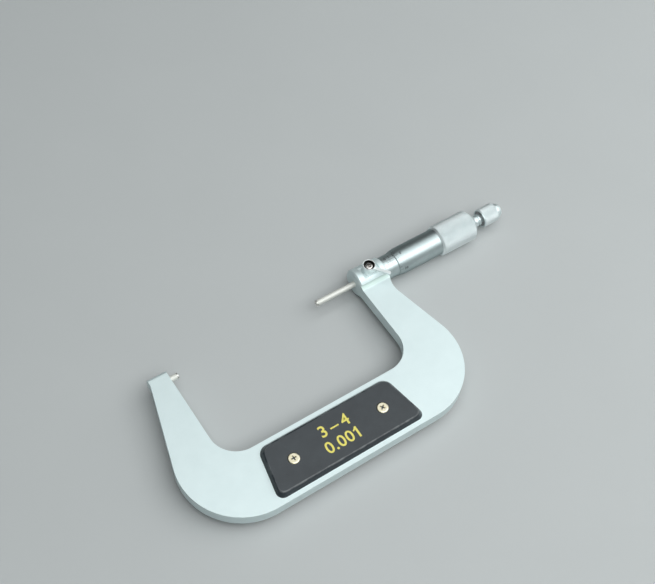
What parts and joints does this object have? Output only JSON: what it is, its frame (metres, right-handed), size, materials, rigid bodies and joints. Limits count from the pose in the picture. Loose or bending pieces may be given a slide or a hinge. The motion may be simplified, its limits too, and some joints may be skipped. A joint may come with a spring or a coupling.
{
  "type": "outside micrometer",
  "caption": "Outside micrometer: a flat bow frame with a fixed anvil and a fine screw spindle turned by a knurled thimble, with a ratchet stop and a spindle lock.",
  "frame": {"origin": "centre of the anvil's measuring face, on the spindle axis", "axes": "+X along the spindle axis from the anvil to the ratchet, bow frame at -Y, +Z out of the front face with the lock lever"},
  "size_m": [0.2301, 0.0949, 0.0201],
  "materials": {
    "frame_enamel": "satin silver-grey enamel",
    "tool_steel": "ground tool steel",
    "carbide": "lapped carbide",
    "black_plastic": "satin black plastic",
    "gold_plated": "gold-coloured plating",
    "bright_steel": "polished nickel plate",
    "pad_brass": "plain brass",
    "dark_steel": "turned steel",
    "satin_chrome": "satin chrome plate"
  },
  "bodies": {
    "body": {"frame": "frame_enamel", "anvil": "tool_steel", "anvil_tip": "carbide", "front_plate": "black_plastic", "back_plate": "black_plastic", "front_plate_screws": "gold_plated", "back_plate_screws": "gold_plated", "lock_pad": "pad_brass", "inner_barrel": "dark_steel", "adjusting_nut": "dark_steel"},
    "sleeve": {"sleeve": "satin_chrome"},
    "lock": {"lock_lever": "bright_steel", "lock_screw": "bright_steel"},
    "carriage": {"spindle_tip": "carbide"},
    "thimble": {"spindle": "tool_steel", "thimble": "satin_chrome", "ratchet_stem": "tool_steel", "ratchet_drive_disc": "dark_steel", "ratchet_screw": "bright_steel"},
    "ratchet": {"ratchet_knob": "satin_chrome", "ratchet_slip_disc": "dark_steel", "ratchet_spring": "dark_steel"}
  },
  "joints": [
    {"name": "spindle_travel", "type": "slide", "parent": "body", "child": "carriage", "axis": [1, 0, 0], "range_m": [-0.0052, 0.0205]},
    {"name": "thimble_turn", "type": "hinge", "parent": "carriage", "child": "thimble", "pos_m": [0.13, 0, 0], "axis": [1, 0, 0], "range_deg": [-2880, 11520]},
    {"name": "ratchet_slip", "type": "hinge", "parent": "thimble", "child": "ratchet", "pos_m": [0.195, 0, 0], "axis": [1, 0, 0], "continuous": true},
    {"name": "sleeve_zero", "type": "hinge", "parent": "body", "child": "sleeve", "pos_m": [0.135, 0, 0], "axis": [1, 0, 0], "range_deg": [-15, 15]},
    {"name": "lock_turn", "type": "hinge", "parent": "body", "child": "lock", "pos_m": [0.1136, 0, 0.009], "axis": [0, 0, 1], "range_deg": [-55, 0]}
  ],
  "couplings": [
    {"joint": "spindle_travel", "follows": "thimble_turn", "m_per_rad": 0.00010106}
  ]
}
